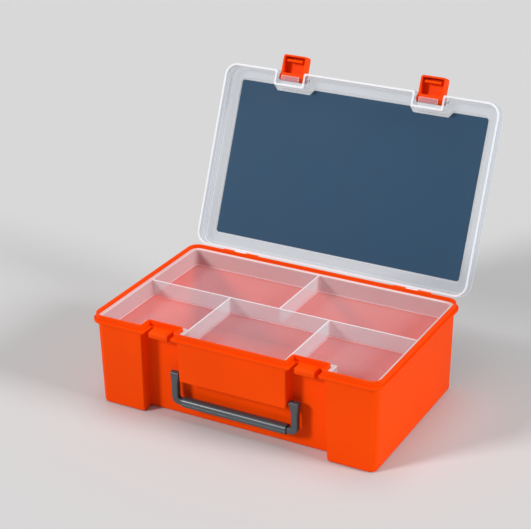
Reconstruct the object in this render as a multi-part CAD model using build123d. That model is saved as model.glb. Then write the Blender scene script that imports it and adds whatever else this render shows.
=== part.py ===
from build123d import *
from math import sqrt
import os

# Moulded plastic toolbox with a clear hinged lid, a lift-out tray, two
# front latches and a fold-down handle. Millimetres, +X right, +Y back, +Z up,
# origin on the floor under the middle of the base. The lid stands open, the
# latches stand up from it, the handle hangs and the tray sits in the rim.

# Base
HALF_LENGTH = 160.5        # centre to the outside of an end wall, at the rim
HALF_DEPTH = 99.5          # centre to the outside of the back wall, at the rim
CORNER = 10.0              # plan radius of the four outside corners
WALL = 2.2
FLOOR = 2.4
DRAFT = 2.0                # each wall leans in by this from the rim to the floor
FOOT_ROUND = 3.0           # rounding where the walls meet the floor
FOOT_STEPS = (0.0, 0.3, 1.0)  # heights of its facets, in parts of the rounding
WALL_TOP = 95.2            # underside of the flange round the rim
FLANGE = 4.5               # how far the flange stands out from the wall
FLANGE_TOP = 98.0
LIP = 2.0                  # thickness of the upright lip, outside the wall line
LIP_TOP = 103.6

# Latch pockets and the handle recess in the front wall
LATCH_X = 83.3             # each latch, left and right of the middle
POCKET_WIDTH = 42.0
POCKET_DEPTH = 15.0
POCKET_BEVEL = 1.2
BLOCK_BOTTOM = 48.5        # underside of the block between the pockets
CATCH_WIDTH = 22.0
CATCH_FRONT = -101.0
CATCH_BOTTOM = FLANGE_TOP - 7.0
CATCH_ROUND = 2.4

# Lid, in its closed place
LID_BOTTOM = FLANGE_TOP + 0.1
LID_TOP = 115.0
LID_SKIN = 2.0
LID_EDGE = 1.6             # rounding of the lid's outside top edge
LID_EDGE_STEP = 0.3        # where its middle facet edge lies, in parts of the rounding
LID_GAP = 0.3              # clearance between the base's lip and the lid's skirt
LID_SEAT = LIP_TOP + 1.0   # the skirt thickens above this, over the lip
LID_SEAT_FACE = 0.6
FIELD_LENGTH = 300.0       # raised field in the middle of the lid
FIELD_DEPTH = 178.0
FIELD_CORNER = 4.0
FIELD_RAISE = 1.5
FIELD_WALL = 1.5
FIELD_NOTCH = 6.0          # the field steps back by this behind each latch
FIELD_NOTCH_WIDTH = 50.0
FIELD_NOTCH_SLOPE = 4.8
TONGUE = 1.5               # thin tongue of the lid that lies on each catch bar
TONGUE_FRONT = -98.6
SHEET = 1.2                # tinted sheet that lines the field
SHEET_GAP = 1.0
LID_OPEN = 113.0           # degrees that the lid stands open

# Lid hinge
HINGE_Y = 107.5
HINGE_Z = FLANGE_TOP
HINGE_X = 105.0            # middle of each group of knuckles
KNUCKLE = 14.0
KNUCKLE_GAP = 0.4
KNUCKLE_RADIUS = 3.1
KNUCKLES = 3
WEB_GAP = 0.3              # between a knuckle's web and the other moulding
PIN_RADIUS = 1.5
HELD = 0.02                # radial room round a pin where it is held
RUNNING = 0.06             # radial room round a pin where a piece turns

# Latches
LATCH_Y = -97.5
LATCH_Z = LID_TOP - 7.0
LATCH_HALF = 14.5
LATCH_LENGTH = 25.0        # from the pin to the finger end
LATCH_FACE = 6.0           # outside face, in front of the pin
LATCH_RIM = 5.0            # side walls reach this far behind the pin
LATCH_WALL = 2.0
LATCH_CORNER = 3.0
LATCH_EDGE = 0.6
BARREL_RADIUS = 4.6
BARREL_HALF = 16.0
HOOK_TOP = LATCH_Z - CATCH_BOTTOM + 0.5
HOOK_THICK = 3.0
HOOK_HALF = 9.5
HOOK_LEAD = 1.6            # slope that leads the hook under the bar
LATCH_OPEN = 90.0
LATCH_PIN_HALF = 19.5

# Handle
HANDLE_Y = -92.5
HANDLE_Z = 51.6
HANDLE_DEEP = 7.0
HANDLE_EDGE = 1.1          # bevel round the arms and the bar
HEAD_INNER = 63.7          # centre to the inner side of each arm's head
HEAD_OUTER = 73.9
HEAD_ABOVE = 3.6           # flat top of the head, above the pivot
HEAD_SQUARE = 3.4          # the head keeps its width for this far down
HEAD_NECK = 13.0           # and has narrowed to the arm this far down
ARM_INNER = 65.4
ARM_OUTER = 72.8
HANDLE_REACH = 29.6        # pivot to the middle of the grip
BEND_OUTER = 7.6
BEND_INNER = 2.5
BAR_HIGH = 6.6
GRIP_HALF = 60.0
GRIP_DEEP = 10.8
GRIP_HIGH = 10.4
GRIP_ROUND = 4.2
CREASE_DEEP = 0.9          # groove along the front of the grip
CREASE_HIGH = 1.5
PIVOT_RADIUS = 1.6
PIVOT_START = 58.0
PIVOT_END = 71.0           # the pin's end, inside the arm's head
BORE_END = 71.4
BOSS_RADIUS = 2.9
BOSS_INNER = 56.5

# Tray, seated on the ledge inside the lip
TRAY_SEAT = FLANGE_TOP
TRAY_RIM = -0.4            # its rim stands this far inside the wall line
TRAY_RIM_THICK = 1.8
TRAY_FACE = -3.0
TRAY_DRAFT = 1.0
TRAY_BOTTOM = 80.0
TRAY_WALL = 1.6
TRAY_CROSS_Y = 4.0         # divider that runs the tray's length

REACH = 40.0               # cutting solids run past the faces by this


def outline(offset, height):
    """Plan of the walls, moved out by offset, with a pocket for each latch."""
    front = -(HALF_DEPTH + offset)
    back = -HALF_DEPTH + POCKET_DEPTH - offset
    width = POCKET_WIDTH - 2 * offset
    plan = RectangleRounded(2 * (HALF_LENGTH + offset), 2 * (HALF_DEPTH + offset), CORNER + offset)
    for side in (-1, 1):
        plan -= Pos(side * LATCH_X, back - REACH / 2) * Rectangle(width, REACH)
    corners = [
        v for v in plan.vertices()
        if abs(v.Y - back) < 0.01
        or (abs(v.Y - front) < 0.01 and abs(abs(v.X) - LATCH_X) < width / 2 + 0.01)
    ]
    return Pos(0, 0, height) * chamfer(corners, POCKET_BEVEL)


def prism(offset, bottom, top):
    """Upright block on the plan of the walls."""
    return extrude(outline(offset, bottom), top - bottom)


def tapered(levels):
    """Block through the plan of the walls at each (offset, height)."""
    return loft([outline(offset, height) for offset, height in levels], ruled=True)


def wall_face(height):
    """How far the outside of the wall stands out from its line at the rim."""
    lean = -DRAFT * max(0.0, 1 - height / WALL_TOP)
    if height < FOOT_ROUND:
        lean -= FOOT_ROUND - sqrt(FOOT_ROUND ** 2 - (FOOT_ROUND - height) ** 2)
    return lean


def recess_plan(offset, height):
    """Plan of the space under the front block, between the two pockets."""
    back = -HALF_DEPTH + POCKET_DEPTH - offset
    return Pos(0, back - REACH / 2, height) * Rectangle(2 * LATCH_X, REACH)


def base_hull(inset, heights):
    """Solid inside the base's walls, a distance inset from their outside."""
    levels = [(wall_face(z) - inset, z) for z in heights]
    under = [z for z in heights if z < BLOCK_BOTTOM] + [BLOCK_BOTTOM + inset]
    recess = loft([recess_plan(wall_face(z) - inset, z) for z in under], ruled=True)
    return tapered(levels) - recess


def rod(radius, start, end, y, z):
    """Round rod along X."""
    return Pos((start + end) / 2, y, z) * Rot(0, 90, 0) * Cylinder(radius, end - start)


def knuckle_centres(side, first):
    """Every second knuckle of one hinge, from the first or the second."""
    pitch = KNUCKLE + KNUCKLE_GAP
    return [side * HINGE_X + pitch * (i - (KNUCKLES - 1) / 2) for i in range(first, KNUCKLES, 2)]


def knuckle(centre, web_bottom, web_top):
    """Hinge knuckle, with the web that joins it to the rim."""
    web_depth = HINGE_Y - HALF_DEPTH - FLANGE + 1
    barrel = rod(KNUCKLE_RADIUS, centre - KNUCKLE / 2, centre + KNUCKLE / 2, HINGE_Y, HINGE_Z)
    middle = (web_bottom + web_top) / 2
    web = Pos(centre, HINGE_Y - web_depth / 2, middle) * Box(KNUCKLE, web_depth, web_top - web_bottom)
    return barrel + web


def catch_bar(side):
    """Bar that the latch's hook goes under, standing out of the pocket's wall."""
    back = -HALF_DEPTH + POCKET_DEPTH + WALL / 2
    depth = back - CATCH_FRONT
    height = FLANGE_TOP - CATCH_BOTTOM
    bar = Box(CATCH_WIDTH, depth, height)
    bar = fillet(bar.edges().filter_by(Axis.X).group_by(Axis.Y)[0], CATCH_ROUND)
    return Pos(side * LATCH_X, back - depth / 2, CATCH_BOTTOM + height / 2) * bar


def handle_boss(side):
    """Boss inside the front block that holds a handle pivot."""
    outer = LATCH_X - POCKET_WIDTH / 2 + wall_face(HANDLE_Z) - WALL / 2
    return rod(BOSS_RADIUS, *sorted((side * BOSS_INNER, side * outer)), HANDLE_Y, HANDLE_Z)


def base_shell():
    """Moulded base: floor, walls, flange, lip, catches, bosses and knuckles."""
    foot = [step * FOOT_ROUND for step in FOOT_STEPS]
    shell = base_hull(0, foot + [WALL_TOP]) + prism(FLANGE, WALL_TOP, FLANGE_TOP)
    shell += prism(LIP, FLANGE_TOP, LIP_TOP)
    shell -= base_hull(WALL, [FLOOR, WALL_TOP, FLANGE_TOP])
    shell -= prism(0, FLANGE_TOP, LIP_TOP)
    for side in (-1, 1):
        shell += catch_bar(side)
        shell += handle_boss(side)
        for centre in knuckle_centres(side, 0):
            shell += knuckle(centre, WALL_TOP, HINGE_Z - WEB_GAP)
        half = KNUCKLES * KNUCKLE
        shell -= rod(PIN_RADIUS + HELD, side * HINGE_X - half, side * HINGE_X + half, HINGE_Y, HINGE_Z)
        shell -= rod(PIVOT_RADIUS + HELD, *sorted((side * PIVOT_START, side * LATCH_X)), HANDLE_Y, HANDLE_Z)
    return shell


def field_plan(grow, height):
    """Plan of the lid's raised field, stepped back behind each latch."""
    plan = RectangleRounded(FIELD_LENGTH, FIELD_DEPTH, FIELD_CORNER)
    front = -FIELD_DEPTH / 2
    wide = FIELD_NOTCH_WIDTH / 2
    narrow = wide - FIELD_NOTCH_SLOPE
    for side in (-1, 1):
        x = side * LATCH_X
        notch = [(x - wide, front), (x - narrow, front + FIELD_NOTCH)]
        notch += [(x + narrow, front + FIELD_NOTCH), (x + wide, front)]
        plan -= make_face(Polyline(*notch, close=True))
    if grow:
        plan = offset(plan, amount=grow)
    return Pos(0, 0, height) * plan


def lid_shell():
    """Clear lid in its closed place: skirt, top with raised field, knuckles."""
    step = LID_EDGE_STEP * LID_EDGE
    rounding = [(FLANGE, LID_BOTTOM), (FLANGE, LID_TOP - LID_EDGE)]
    rounding += [(FLANGE - step, LID_TOP - step), (FLANGE - LID_EDGE, LID_TOP)]
    shell = tapered(rounding)
    shell += extrude(field_plan(FIELD_WALL, LID_TOP), FIELD_RAISE)
    ceiling = LID_TOP - LID_SKIN
    shell -= prism(LIP + LID_GAP, LID_BOTTOM, LID_SEAT)
    shell -= prism(LID_SEAT_FACE, LID_SEAT, ceiling)
    shell -= extrude(field_plan(0, ceiling), FIELD_RAISE)
    tongue_depth = -HALF_DEPTH + POCKET_DEPTH - FLANGE + 1 - TONGUE_FRONT
    for side in (-1, 1):
        for centre in knuckle_centres(side, 1):
            shell += knuckle(centre, HINGE_Z + WEB_GAP, HINGE_Z + KNUCKLE_RADIUS)
        half = KNUCKLES * KNUCKLE
        shell -= rod(PIN_RADIUS + RUNNING, side * HINGE_X - half, side * HINGE_X + half, HINGE_Y, HINGE_Z)
        tongue = Box(CATCH_WIDTH, tongue_depth, TONGUE)
        shell += Pos(side * LATCH_X, TONGUE_FRONT + tongue_depth / 2, LID_BOTTOM + TONGUE / 2) * tongue
        left, right = side * LATCH_X - LATCH_PIN_HALF, side * LATCH_X + LATCH_PIN_HALF
        shell -= rod(PIN_RADIUS + HELD, left, right, LATCH_Y, LATCH_Z)
    return shell


def lid_panel():
    """Tinted sheet pressed into the recess of the lid's field."""
    top = LID_TOP - LID_SKIN + FIELD_RAISE
    return extrude(field_plan(-SHEET_GAP, top - SHEET), SHEET)


def latch():
    """Latch about its pin, hanging down closed: a cup with a hook inside."""
    depth = LATCH_FACE + LATCH_RIM
    middle = (LATCH_RIM - LATCH_FACE) / 2
    cup = Pos(0, middle, -LATCH_LENGTH / 2) * Box(2 * LATCH_HALF, depth, LATCH_LENGTH)
    cup = fillet(cup.edges().filter_by(Axis.Y).group_by(Axis.Z)[0], LATCH_CORNER)
    cup = chamfer(cup.faces().sort_by(Axis.Y)[0].edges(), LATCH_EDGE)
    inside_length = LATCH_LENGTH - LATCH_WALL - BARREL_RADIUS
    inside = Box(2 * (LATCH_HALF - LATCH_WALL), depth, inside_length)
    inside = fillet(inside.edges().filter_by(Axis.Y).group_by(Axis.Z)[0], LATCH_CORNER / 2)
    solid = cup + rod(BARREL_RADIUS, -BARREL_HALF, BARREL_HALF, 0, 0)
    solid -= Pos(0, middle + LATCH_WALL, -BARREL_RADIUS - inside_length / 2) * inside
    hook_depth = LATCH_FACE - LATCH_WALL + LATCH_RIM
    hook = Box(2 * HOOK_HALF, hook_depth, HOOK_THICK)
    hook = chamfer(hook.edges().filter_by(Axis.X).group_by(Axis.Y)[-1].sort_by(Axis.Z)[0], HOOK_LEAD)
    solid += Pos(0, LATCH_RIM - hook_depth / 2, -HOOK_TOP - HOOK_THICK / 2) * hook
    return solid - rod(PIN_RADIUS + RUNNING, -REACH, REACH, 0, 0)


def handle_outline():
    """Front view of the handle: square heads, narrowing arms and the bar."""
    top = HANDLE_Z + HEAD_ABOVE
    grip = HANDLE_Z - HANDLE_REACH
    outer = [(HEAD_OUTER, top), (HEAD_OUTER, top - HEAD_SQUARE), (ARM_OUTER, top - HEAD_NECK)]
    outer.append((ARM_OUTER, grip - BAR_HIGH / 2))
    inner = [(HEAD_INNER, top), (HEAD_INNER, top - HEAD_SQUARE), (ARM_INNER, top - HEAD_NECK)]
    inner.append((ARM_INNER, grip + BAR_HIGH / 2))
    right = outer[::-1] + inner
    left = [(-x, z) for x, z in right[::-1]]
    face = make_face(Polyline(*right, *left, close=True))
    face = fillet(face.vertices().group_by(Axis.Y)[0], BEND_OUTER)
    inside = [v for v in face.vertices() if abs(abs(v.X) - ARM_INNER) + abs(v.Y - inner[-1][1]) < 0.01]
    return fillet(inside, BEND_INNER)


def handle_bail():
    """Moulded U of the handle, with a blind bore for the pivot in each head."""
    front = Plane.XZ.offset(-HANDLE_Y - HANDLE_DEEP / 2)
    bail = extrude(front * handle_outline(), HANDLE_DEEP)
    faces = bail.faces().filter_by(Axis.Y).sort_by(Axis.Y)
    bail = chamfer(faces[0].edges() + faces[-1].edges(), HANDLE_EDGE)
    for side in (-1, 1):
        bore = sorted((side * PIVOT_START, side * BORE_END))
        bail -= rod(PIVOT_RADIUS + RUNNING, *bore, HANDLE_Y, HANDLE_Z)
    return bail


def handle_grip():
    """Sleeve on the handle's bar, with a groove along its front."""
    front = -GRIP_DEEP / 2
    groove = [(front, -CREASE_HIGH / 2), (front + CREASE_DEEP, 0), (front, CREASE_HIGH / 2)]
    section = RectangleRounded(GRIP_DEEP, GRIP_HIGH, GRIP_ROUND)
    section -= make_face(Polyline(*groove, close=True))
    sleeve = extrude(Plane.YZ.offset(-GRIP_HALF) * section, 2 * GRIP_HALF)
    bore = Box(2 * GRIP_HALF, HANDLE_DEEP + 2 * HELD, BAR_HIGH + 2 * HELD)
    return Pos(0, HANDLE_Y, HANDLE_Z - HANDLE_REACH) * (sleeve - bore)


def handle_pivot(side):
    """Pin pressed into the front block, on which an arm of the handle turns."""
    return rod(PIVOT_RADIUS, *sorted((side * PIVOT_START, side * PIVOT_END)), HANDLE_Y, HANDLE_Z)


def tray():
    """Lift-out tray: rim, drafted walls and floor, and dividers for five compartments."""
    top = TRAY_SEAT + TRAY_RIM_THICK
    floor_top = TRAY_BOTTOM + TRAY_WALL
    body = tapered([(TRAY_FACE - TRAY_DRAFT, TRAY_BOTTOM), (TRAY_FACE, TRAY_SEAT), (TRAY_FACE, top)])
    body += prism(TRAY_RIM, TRAY_SEAT, top)
    inside_face = TRAY_FACE - TRAY_WALL
    hollow = tapered([(inside_face - TRAY_DRAFT, floor_top), (inside_face, TRAY_SEAT), (inside_face, top)])
    height = top - TRAY_BOTTOM
    middle = TRAY_BOTTOM + height / 2
    side_x = LATCH_X - POCKET_WIDTH / 2 + TRAY_FACE - TRAY_WALL / 2
    back, front = TRAY_CROSS_Y + HALF_DEPTH / 2, TRAY_CROSS_Y - HALF_DEPTH / 2
    dividers = Pos(0, TRAY_CROSS_Y, middle) * Box(2 * HALF_LENGTH, TRAY_WALL, height)
    for x, y in ((0, back), (-side_x, front), (side_x, front)):
        dividers += Pos(x, y, middle) * Box(TRAY_WALL, HALF_DEPTH, height)
    return body - (hollow - dividers)


def opened(piece):
    """Turns a piece of the closed lid to where the open lid holds it."""
    return Pos(0, HINGE_Y, HINGE_Z) * Rot(-LID_OPEN, 0, 0) * Pos(0, -HINGE_Y, -HINGE_Z) * piece


def latch_pin(side):
    """Pin through a latch, held in the side walls of the lid's pocket."""
    x = side * LATCH_X
    return opened(rod(PIN_RADIUS, x - LATCH_PIN_HALF, x + LATCH_PIN_HALF, LATCH_Y, LATCH_Z))


def hinge_pin(side):
    """Pin through one group of lid hinge knuckles."""
    half = (KNUCKLES * KNUCKLE + (KNUCKLES - 1) * KNUCKLE_GAP) / 2
    return rod(PIN_RADIUS, side * HINGE_X - half, side * HINGE_X + half, HINGE_Y, HINGE_Z)


def standing_latch(side):
    """Latch swung up into the plane of the open lid."""
    return opened(Pos(side * LATCH_X, LATCH_Y, LATCH_Z) * Rot(-LATCH_OPEN, 0, 0) * latch())


pieces = {
    "base_shell": base_shell(),
    "lid_shell": opened(lid_shell()),
    "lid_panel": opened(lid_panel()),
    "handle_bail": handle_bail(),
    "handle_grip": handle_grip(),
    "tray": tray(),
}
for name, side in (("left", -1), ("right", 1)):
    pieces[f"latch_{name}"] = standing_latch(side)
    pieces[f"latch_pin_{name}"] = latch_pin(side)
    pieces[f"lid_hinge_pin_{name}"] = hinge_pin(side)
    pieces[f"handle_pivot_{name}"] = handle_pivot(side)

os.makedirs("parts", exist_ok=True)
for name, piece in pieces.items():
    export_step(piece, f"parts/{name}.step")
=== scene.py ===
from math import radians

import bmesh
import bpy
from mathutils import Euler, Matrix, Vector


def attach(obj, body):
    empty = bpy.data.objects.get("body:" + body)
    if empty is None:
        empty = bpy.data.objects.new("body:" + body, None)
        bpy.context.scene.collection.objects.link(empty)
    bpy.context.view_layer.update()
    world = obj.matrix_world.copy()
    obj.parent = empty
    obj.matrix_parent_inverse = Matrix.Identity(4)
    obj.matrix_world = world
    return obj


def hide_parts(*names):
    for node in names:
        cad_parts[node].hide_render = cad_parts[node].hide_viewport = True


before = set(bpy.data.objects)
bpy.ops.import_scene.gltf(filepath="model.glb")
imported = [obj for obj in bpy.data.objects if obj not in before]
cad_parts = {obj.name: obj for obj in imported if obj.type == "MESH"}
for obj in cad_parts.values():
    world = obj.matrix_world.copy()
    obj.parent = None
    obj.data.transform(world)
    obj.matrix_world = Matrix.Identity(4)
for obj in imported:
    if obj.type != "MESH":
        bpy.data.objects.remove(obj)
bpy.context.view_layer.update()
scene = bpy.context.scene
scene.view_settings.view_transform = "Standard"

# Camera, at the photograph's angle: to the right of the front and above it,
# upright, with a long lens whose middle lies a little right of the picture's.
PHOTO_WIDTH, PHOTO_HEIGHT = 531, 529
AZIMUTH, ELEVATION = radians(27.07), radians(24.67)
FOCAL_PIXELS = 1509
CENTRE_X, CENTRE_Y = 312.4, 263.7
CAMERA_PLACE = (0.6717, -1.2346, 0.7981)
camera_data = bpy.data.cameras.new("camera")
camera_data.lens = FOCAL_PIXELS / PHOTO_WIDTH * camera_data.sensor_width
camera_data.shift_x = (PHOTO_WIDTH / 2 - CENTRE_X) / PHOTO_WIDTH
camera_data.shift_y = (CENTRE_Y - PHOTO_HEIGHT / 2) / PHOTO_WIDTH
camera = bpy.data.objects.new("camera", camera_data)
turn = Euler((radians(90) - ELEVATION, 0, AZIMUTH)).to_matrix().to_4x4()
camera.matrix_world = Matrix.Translation(CAMERA_PLACE) @ turn
scene.collection.objects.link(camera)
scene.camera = camera

# Studio: a wide pale floor, three soft lights and an even room light, so that
# a colour shows about as it is. The room behind looks as pale as the floor.
FLOOR_SIZE = 60.0
FLOOR_PALE, FLOOR_ROUGHNESS = 0.6, 0.9
ROOM_LIGHT, ROOM_SEEN = 0.26, 0.66


def new_material(name):
    """Material with its nodes, its links and its shader."""
    material = bpy.data.materials.new(name)
    material.use_nodes = True
    nodes = material.node_tree.nodes
    return material, nodes, material.node_tree.links, nodes["Principled BSDF"]


def ranged(nodes, links, value, low, high):
    """Map Range node that spreads a value between low and high."""
    node = nodes.new("ShaderNodeMapRange")
    node.inputs["To Min"].default_value = low
    node.inputs["To Max"].default_value = high
    links.new(value, node.inputs["Value"])
    return node


floor_mesh = bmesh.new()
bmesh.ops.create_grid(floor_mesh, x_segments=1, y_segments=1, size=FLOOR_SIZE / 2)
floor_data = bpy.data.meshes.new("floor")
floor_mesh.to_mesh(floor_data)
floor_mesh.free()
floor = bpy.data.objects.new("floor", floor_data)
scene.collection.objects.link(floor)
floor_paint, _, _, paint = new_material("floor_paint")
paint.inputs["Base Color"].default_value = (FLOOR_PALE, FLOOR_PALE, FLOOR_PALE, 1)
paint.inputs["Roughness"].default_value = FLOOR_ROUGHNESS
floor_data.materials.append(floor_paint)

room = bpy.data.worlds.new("room")
room.use_nodes = True
room_nodes, room_links = room.node_tree.nodes, room.node_tree.links
backdrop = room_nodes["Background"]
backdrop.inputs["Color"].default_value = (1, 1, 1, 1)
ray = room_nodes.new("ShaderNodeLightPath")
seen = ray.outputs["Is Camera Ray"]
for mirrored in ("Is Glossy Ray", "Is Transmission Ray"):
    either = room_nodes.new("ShaderNodeMath")
    either.operation = "MAXIMUM"
    room_links.new(seen, either.inputs[0])
    room_links.new(ray.outputs[mirrored], either.inputs[1])
    seen = either.outputs["Value"]
room_strength = ranged(room_nodes, room_links, seen, ROOM_LIGHT, ROOM_SEEN)
room_links.new(room_strength.outputs["Result"], backdrop.inputs["Strength"])
scene.world = room


def soft_light(name, place, spread, strength):
    """Even light from the side of place, with the soft shadows of a wide panel."""
    data = bpy.data.lights.new(name, "SUN")
    data.angle = radians(spread)
    data.energy = strength
    lamp = bpy.data.objects.new(name, data)
    aim = (-Vector(place)).to_track_quat("-Z", "Y").to_matrix().to_4x4()
    lamp.matrix_world = Matrix.Translation(place) @ aim
    scene.collection.objects.link(lamp)


soft_light("key_light", (4.0, 0.2, 1.9), spread=18, strength=2.2)
soft_light("fill_light", (-2.6, -3.1, 2.2), spread=14, strength=2.1)
soft_light("top_light", (-0.4, 0.6, 4.3), spread=36, strength=0.75)


# Base: one orange polypropylene moulding, satin from the mould, with faint
# flow shading and a fine skin texture. Its edges are rounded as moulded,
# apart from those of the hinge, whose slots are too narrow for it.
MERGE_DISTANCE = 2e-6
FLAT_ANGLE, SHARP_ANGLE = radians(0.6), radians(50)
HINGE_Y, HINGE_Z, HINGE_REACH = 0.1075, 0.098, 0.007
FLOW_SCALE, FLOW_DETAIL = 9, 3
FLOW_LOW, FLOW_HIGH = 0.3, 0.7
GLOSS_BELOW, GLOSS_ABOVE = 0.05, 0.07
GRAIN_SCALE, GRAIN_DETAIL, GRAIN_STRENGTH = 1400, 2, 0.25


def edge_rounded(node, name, body, radius):
    """Copy of a CAD node with its edges rounded, which stands for the node."""
    mesh = bmesh.new()
    mesh.from_mesh(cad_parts[node].data)
    bmesh.ops.remove_doubles(mesh, verts=mesh.verts, dist=MERGE_DISTANCE)
    bmesh.ops.dissolve_limit(mesh, angle_limit=FLAT_ANGLE, verts=mesh.verts, edges=mesh.edges)
    rounding = mesh.edges.layers.float.new("bevel_weight_edge")
    for edge in mesh.edges:
        if edge.calc_face_angle() > SHARP_ANGLE:
            middle = (edge.verts[0].co + edge.verts[1].co) / 2
            from_axis = Vector((middle.y - HINGE_Y, middle.z - HINGE_Z)).length
            at_hinge = from_axis < HINGE_REACH
            edge[rounding] = 0 if at_hinge else 1
            edge.smooth = not at_hinge
    for face in mesh.faces:
        face.smooth = True
    data = bpy.data.meshes.new(name)
    mesh.to_mesh(data)
    mesh.free()
    piece = bpy.data.objects.new(name, data)
    scene.collection.objects.link(piece)
    bevel = piece.modifiers.new("rounded_edges", "BEVEL")
    bevel.limit_method = "WEIGHT"
    bevel.offset_type = "WIDTH"
    bevel.width = radius
    bevel.segments = 2
    bevel.use_clamp_overlap = False
    bevel.harden_normals = True
    piece.modifiers.new("face_normals", "WEIGHTED_NORMAL").keep_sharp = True
    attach(piece, body)
    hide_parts(node)
    return piece


def noise(nodes, links, where, scale, detail):
    """Noise over the object, as a value about 0.5."""
    node = nodes.new("ShaderNodeTexNoise")
    node.inputs["Scale"].default_value = scale
    node.inputs["Detail"].default_value = detail
    links.new(where.outputs["Object"], node.inputs["Vector"])
    return node.outputs["Fac"]


def moulded_skin(nodes, links, where, roughness, skin):
    """Uneven gloss from the plastic's flow and a fine grain from the mould; gives the flow."""
    shader = nodes["Principled BSDF"]
    flow = noise(nodes, links, where, FLOW_SCALE, FLOW_DETAIL)
    gloss = ranged(nodes, links, flow, roughness - GLOSS_BELOW, roughness + GLOSS_ABOVE)
    links.new(gloss.outputs["Result"], shader.inputs["Roughness"])
    bump = nodes.new("ShaderNodeBump")
    bump.inputs["Strength"].default_value = GRAIN_STRENGTH
    bump.inputs["Distance"].default_value = skin
    grain = noise(nodes, links, where, GRAIN_SCALE, GRAIN_DETAIL)
    links.new(grain, bump.inputs["Height"])
    links.new(bump.outputs["Normal"], shader.inputs["Normal"])
    return flow


def satin_plastic(name, colour, roughness, shine, shade=0.06, skin=0.00002):
    """Opaque moulded plastic with faint shading and its mould's skin."""
    material, nodes, links, shader = new_material(name)
    shader.inputs["Specular IOR Level"].default_value = shine
    flow = moulded_skin(nodes, links, nodes.new("ShaderNodeTexCoord"), roughness, skin)
    tint = nodes.new("ShaderNodeValToRGB")
    darker, lighter = tint.color_ramp.elements
    for element, place, share in ((darker, FLOW_LOW, 1 - shade), (lighter, FLOW_HIGH, 1 + shade)):
        element.position = place
        element.color = [min(1, part * share) for part in colour] + [1]
    links.new(flow, tint.inputs["Fac"])
    links.new(tint.outputs["Color"], shader.inputs["Base Color"])
    return material


orange = satin_plastic("orange_polypropylene", (0.92, 0.066, 0.0), roughness=0.5, shine=0.05)
base = edge_rounded("base_shell", "moulded_base", "base", radius=0.0003)
base.data.materials.append(orange)

# Latches: two orange mouldings like the base, each a shallow cup with a hook
# rib inside, that turn on pins in the lid's pockets.
for side in ("left", "right"):
    node = f"latch_{side}"
    latch = edge_rounded(node, f"snap_latch_{side}", node, radius=0.0003)
    latch.data.materials.append(orange)


# Lid: one frosted clear moulding. Its walls look whiter than its flat skin,
# and its rounded edges and its rim carry white lines of painted highlight, for
# the light seen along the plastic there. The tongues under the latches stay clear.
LID_OPEN = radians(113)
LATCH_X, TONGUE_HALF, TONGUE_ROOT = 0.0833, 0.0115, -0.0893
# Painted highlight: white, nearly opaque lines on the rounded edges and on the rim.
EDGE_HIGHLIGHT, EDGE_HIGHLIGHT_ALPHA = (0.95, 0.97, 1.0), 0.95
WALL_TO, EDGE_HIGHLIGHT_FROM, EDGE_HIGHLIGHT_TO, SKIN_FROM = 0.3, 0.42, 0.84, 0.93
RIM_HIGHLIGHT_BAND, RIM_HIGHLIGHT_ALPHA = 0.0004, 0.68
CLOUD_THIN, CLOUD_THICK = 0.9, 1.05


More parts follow.
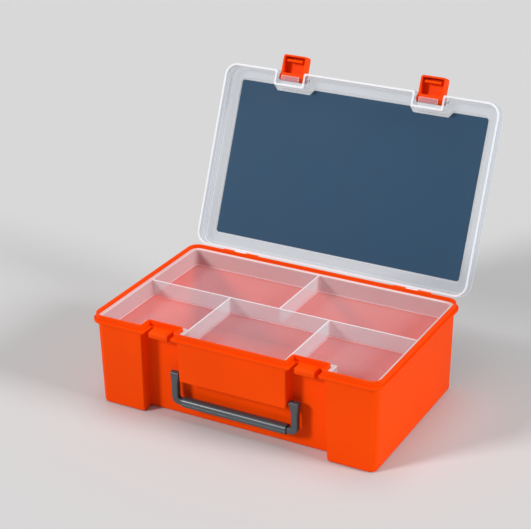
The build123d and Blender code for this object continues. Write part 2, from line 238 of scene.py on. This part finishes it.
def frosted_plastic(name, tilt, rim_height, clear, skin_alpha, wall_alpha):
    """Translucent moulded plastic for a piece that is open by tilt, with painted white highlights
    on its rounded edges and rim.

    The height of its rim is the one that it has when it is closed.
    """
    material, nodes, links, shader = new_material(name)
    shader.inputs["Specular IOR Level"].default_value = 0.35
    where = nodes.new("ShaderNodeTexCoord")
    flow = moulded_skin(nodes, links, where, roughness=0.44, skin=0.000004)

    def worked(operation, value, *others):
        """Output of a Math node that works on one output and on numbers or outputs."""
        node = nodes.new("ShaderNodeMath")
        node.operation = operation
        links.new(value, node.inputs[0])
        for socket, other in zip(node.inputs[1:], others):
            if isinstance(other, float):
                socket.default_value = other
            else:
                links.new(other, socket)
        return node.outputs["Value"]

    # How steep a face is with the piece closed: wall, rounded edge or skin; the rounded edges get
    # a painted white highlight.
    upright = nodes.new("ShaderNodeMapping")
    upright.vector_type = "NORMAL"
    upright.inputs["Rotation"].default_value = (tilt, 0, 0)
    face = nodes.new("ShaderNodeSeparateXYZ")
    density_and_edge_highlight = nodes.new("ShaderNodeValToRGB")
    ramp = density_and_edge_highlight.color_ramp
    ramp.elements[0].color = [*clear, wall_alpha]
    ramp.elements[0].position = WALL_TO
    ramp.elements[1].color = [*clear, skin_alpha]
    ramp.elements[1].position = SKIN_FROM
    for position in (EDGE_HIGHLIGHT_FROM, EDGE_HIGHLIGHT_TO):
        ramp.elements.new(position).color = [*EDGE_HIGHLIGHT, EDGE_HIGHLIGHT_ALPHA]
    links.new(where.outputs["Normal"], upright.inputs["Vector"])
    links.new(upright.outputs["Vector"], face.inputs["Vector"])
    links.new(worked("ABSOLUTE", face.outputs["Z"]), density_and_edge_highlight.inputs["Fac"])

    # The rim's face, painted white as a highlight line, found by its place with the piece closed
    # about the hinge.
    closing = Matrix.Rotation(tilt, 3, "X")
    hinge = Vector((0, HINGE_Y, HINGE_Z))
    closed = nodes.new("ShaderNodeMapping")
    closed.inputs["Rotation"].default_value = (tilt, 0, 0)
    closed.inputs["Location"].default_value = hinge - closing @ hinge
    place = nodes.new("ShaderNodeSeparateXYZ")
    links.new(where.outputs["Object"], closed.inputs["Vector"])
    links.new(closed.outputs["Vector"], place.inputs["Vector"])
    from_catch = worked("SUBTRACT", worked("ABSOLUTE", place.outputs["X"]), LATCH_X)
    beside_tongue = worked("GREATER_THAN", worked("ABSOLUTE", from_catch), TONGUE_HALF)
    behind_tongue = worked("GREATER_THAN", place.outputs["Y"], TONGUE_ROOT)
    at_height = worked("COMPARE", place.outputs["Z"], rim_height, RIM_HIGHLIGHT_BAND)
    rim_highlight_mask = worked("MULTIPLY", at_height, worked("MAXIMUM", beside_tongue, behind_tongue))

    rim_highlight_colour = nodes.new("ShaderNodeMix")
    rim_highlight_colour.data_type = "RGBA"
    rim_highlight_colour.inputs["B"].default_value = (*EDGE_HIGHLIGHT, 1)
    links.new(rim_highlight_mask, rim_highlight_colour.inputs["Factor"])
    links.new(density_and_edge_highlight.outputs["Color"], rim_highlight_colour.inputs["A"])
    links.new(rim_highlight_colour.outputs["Result"], shader.inputs["Base Color"])
    rim_highlight_alpha = ranged(nodes, links, rim_highlight_mask, 0, RIM_HIGHLIGHT_ALPHA)
    links.new(density_and_edge_highlight.outputs["Alpha"], rim_highlight_alpha.inputs["To Min"])
    cloud = ranged(nodes, links, flow, CLOUD_THIN, CLOUD_THICK)
    cloud.inputs["From Min"].default_value = FLOW_LOW
    cloud.inputs["From Max"].default_value = FLOW_HIGH
    alpha = worked("MULTIPLY", rim_highlight_alpha.outputs["Result"], cloud.outputs["Result"])
    links.new(alpha, shader.inputs["Alpha"])
    return material


lid = edge_rounded("lid_shell", "clear_lid", "lid", radius=0.0004)
lid.data.materials.append(frosted_plastic(
    "frosted_lid", LID_OPEN, rim_height=0.0981,
    clear=(0.46, 0.54, 0.65), skin_alpha=0.2, wall_alpha=0.28,
))

# Sheet in the lid: slate-blue plastic, smooth and a little glossy, pressed
# into the lid's raised field. A hair of clearance parts its face from the lid.
SHEET_CLEARANCE = 0.00005
sheet = edge_rounded("lid_panel", "lid_sheet", "lid", radius=0.0002)
shrunk = sheet.modifiers.new("clearance_to_the_lid", "DISPLACE")
shrunk.mid_level = 0
shrunk.strength = -SHEET_CLEARANCE
sheet.data.materials.append(satin_plastic(
    "slate_sheet", (0.013, 0.058, 0.118), roughness=0.5, shine=0.18, shade=0.02, skin=0.000002,
))

# Tray: one moulding of the same frosted plastic as the lid, with dividers, a
# narrow flat rim and a notch in its front for each latch pocket.
# Its rounded edges and rim carry the same painted white highlight lines as the lid's.
tray = edge_rounded("tray", "lift_out_tray", "tray", radius=0.0004)
tray.data.materials.append(frosted_plastic(
    "frosted_tray", 0, rim_height=0.0998,
    clear=(0.76, 0.79, 0.84), skin_alpha=0.17, wall_alpha=0.34,
))

# Handle: a dark grey moulded U with square heads, and the creased sleeve
# that is slid over its bar.
grey = satin_plastic("grey_polypropylene", (0.048, 0.064, 0.074), roughness=0.3, shine=0.6)
for node, name in (("handle_bail", "handle_arms"), ("handle_grip", "grip_sleeve")):
    piece = edge_rounded(node, name, "handle", radius=0.0003)
    piece.data.materials.append(grey)

# Pins of the hinge, the latches and the handle: drawn steel wire with fine
# turned lines, which show only in the gaps beside what turns on them.
STEEL = (0.45, 0.45, 0.46, 1)
TURNED_SCALE, TURNED_WAVER = 900, 2
STEEL_GLOSS, STEEL_DULL = 0.28, 0.42
steel, steel_nodes, steel_links, steel_shader = new_material("drawn_steel")
steel_shader.inputs["Base Color"].default_value = STEEL
steel_shader.inputs["Metallic"].default_value = 1
steel_where = steel_nodes.new("ShaderNodeTexCoord")
turned = steel_nodes.new("ShaderNodeTexWave")
turned.bands_direction = "X"
turned.inputs["Scale"].default_value = TURNED_SCALE
turned.inputs["Distortion"].default_value = TURNED_WAVER
steel_links.new(steel_where.outputs["Object"], turned.inputs["Vector"])
turned_gloss = ranged(steel_nodes, steel_links, turned.outputs["Fac"], STEEL_GLOSS, STEEL_DULL)
steel_links.new(turned_gloss.outputs["Result"], steel_shader.inputs["Roughness"])
for pair in ("latch_pin", "lid_hinge_pin", "handle_pivot"):
    for side in ("left", "right"):
        pin_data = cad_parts[f"{pair}_{side}"].data
        pin_data.materials.clear()
        pin_data.materials.append(steel)
